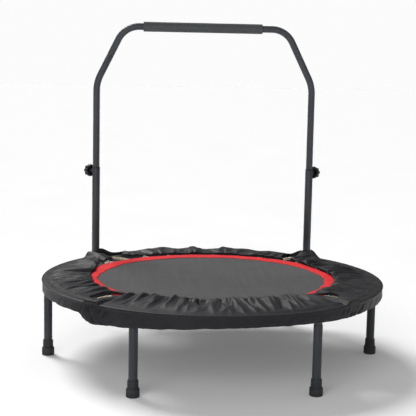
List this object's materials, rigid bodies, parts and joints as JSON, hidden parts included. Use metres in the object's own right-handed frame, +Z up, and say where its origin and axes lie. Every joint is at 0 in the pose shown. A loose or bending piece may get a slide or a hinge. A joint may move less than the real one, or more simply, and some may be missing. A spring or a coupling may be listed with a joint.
{
  "type": "mini trampoline",
  "caption": "Round folding fitness trampoline: hinged tube ring on screw-in legs, sprung mat with a coloured band, gathered skirted cover and a height-adjustable U-shaped handle.",
  "frame": {"origin": "on the floor, under the middle of the ring", "axes": "+Z up; +X to the right and +Y to the back, where the handle stands, as seen from the front"},
  "size_m": [1.028, 1.025, 1.0135],
  "materials": {
    "powder_coat": "satin black powder coat",
    "zinc": "yellow zinc plate",
    "steel": "bright zinc plate",
    "rubber": "matte moulded rubber",
    "plastic": "fine-grained moulded plastic",
    "foam": "closed-cell foam, matte",
    "cover_fabric": "coated polyester, slight sheen",
    "mat_fabric": "woven polypropylene",
    "band_fabric": "red webbing"
  },
  "bodies": {
    "rear_frame": {"ring_arc_back": "powder_coat", "ring_arc_left": "powder_coat", "hinge_clevis_back": "zinc", "hinge_clevis_left": "zinc", "hinge_tongue_left": "zinc", "hinge_tongue_back": "zinc", "hinge_pin_back": "zinc", "hinge_pin_left": "zinc", "leg_left": "powder_coat", "leg_back_left": "powder_coat", "leg_back_right": "powder_coat", "foot_left": "rubber", "foot_back_left": "rubber", "foot_back_right": "rubber", "handle_post_left": "powder_coat", "handle_post_right": "powder_coat", "guide_bushing_left": "plastic", "guide_bushing_right": "plastic", "post_saddle_left": "plastic", "post_saddle_right": "plastic", "saddle_bolt_left": "steel", "saddle_bolt_right": "steel", "cover_back": "cover_fabric", "cover_left": "cover_fabric", "springs_back": "zinc", "springs_left": "zinc"},
    "front_frame": {"ring_arc_front": "powder_coat", "ring_arc_right": "powder_coat", "hinge_clevis_front": "zinc", "hinge_clevis_right": "zinc", "hinge_tongue_front": "zinc", "hinge_tongue_right": "zinc", "hinge_pin_front": "zinc", "hinge_pin_right": "zinc", "leg_front_left": "powder_coat", "leg_front_right": "powder_coat", "leg_right": "powder_coat", "foot_front_left": "rubber", "foot_front_right": "rubber", "foot_right": "rubber", "cover_front": "cover_fabric", "cover_right": "cover_fabric", "springs_front": "zinc", "springs_right": "zinc"},
    "handle": {"handle_top": "powder_coat", "handle_grip": "foam", "handle_upright_left": "powder_coat", "handle_upright_right": "powder_coat"},
    "knob_left": {"clamp_knob_left": "plastic", "knob_bolt_left": "steel"},
    "knob_right": {"clamp_knob_right": "plastic", "knob_bolt_right": "steel"},
    "mat_half_rear": {"mat_rear": "mat_fabric", "mat_band_rear": "band_fabric"},
    "mat_half_front": {"mat_front": "mat_fabric", "mat_band_front": "band_fabric"}
  },
  "joints": [
    {"name": "fold", "type": "hinge", "parent": "rear_frame", "child": "front_frame", "pos_m": [0, 0, 0.24], "axis": [-0.7071, -0.7071, 0], "range_deg": [0, 170]},
    {"name": "handle_height", "type": "slide", "parent": "rear_frame", "child": "handle", "axis": [0, 0, 1], "range_m": [0, 0.12]},
    {"name": "knob_left_turn", "type": "hinge", "parent": "rear_frame", "child": "knob_left", "pos_m": [-0.359, 0.396, 0.5195], "axis": [-0.6716, 0.7409, 0], "continuous": true},
    {"name": "knob_right_turn", "type": "hinge", "parent": "rear_frame", "child": "knob_right", "pos_m": [0.359, 0.396, 0.5195], "axis": [0.6716, 0.7409, 0], "continuous": true},
    {"name": "mat_bounce_rear", "type": "slide", "parent": "rear_frame", "child": "mat_half_rear", "axis": [0, 0, -1], "range_m": [0, 0.06], "stiffness_N_per_m": 3000, "springref_m": -0.004, "deforming": ["springs_back", "springs_left"]},
    {"name": "mat_bounce_front", "type": "slide", "parent": "front_frame", "child": "mat_half_front", "axis": [0, 0, -1], "range_m": [0, 0.06], "stiffness_N_per_m": 3000, "springref_m": -0.004, "deforming": ["springs_front", "springs_right"]}
  ],
  "couplings": [
    {"joint": "mat_bounce_front", "follows": "mat_bounce_rear", "ratio": 1}
  ]
}
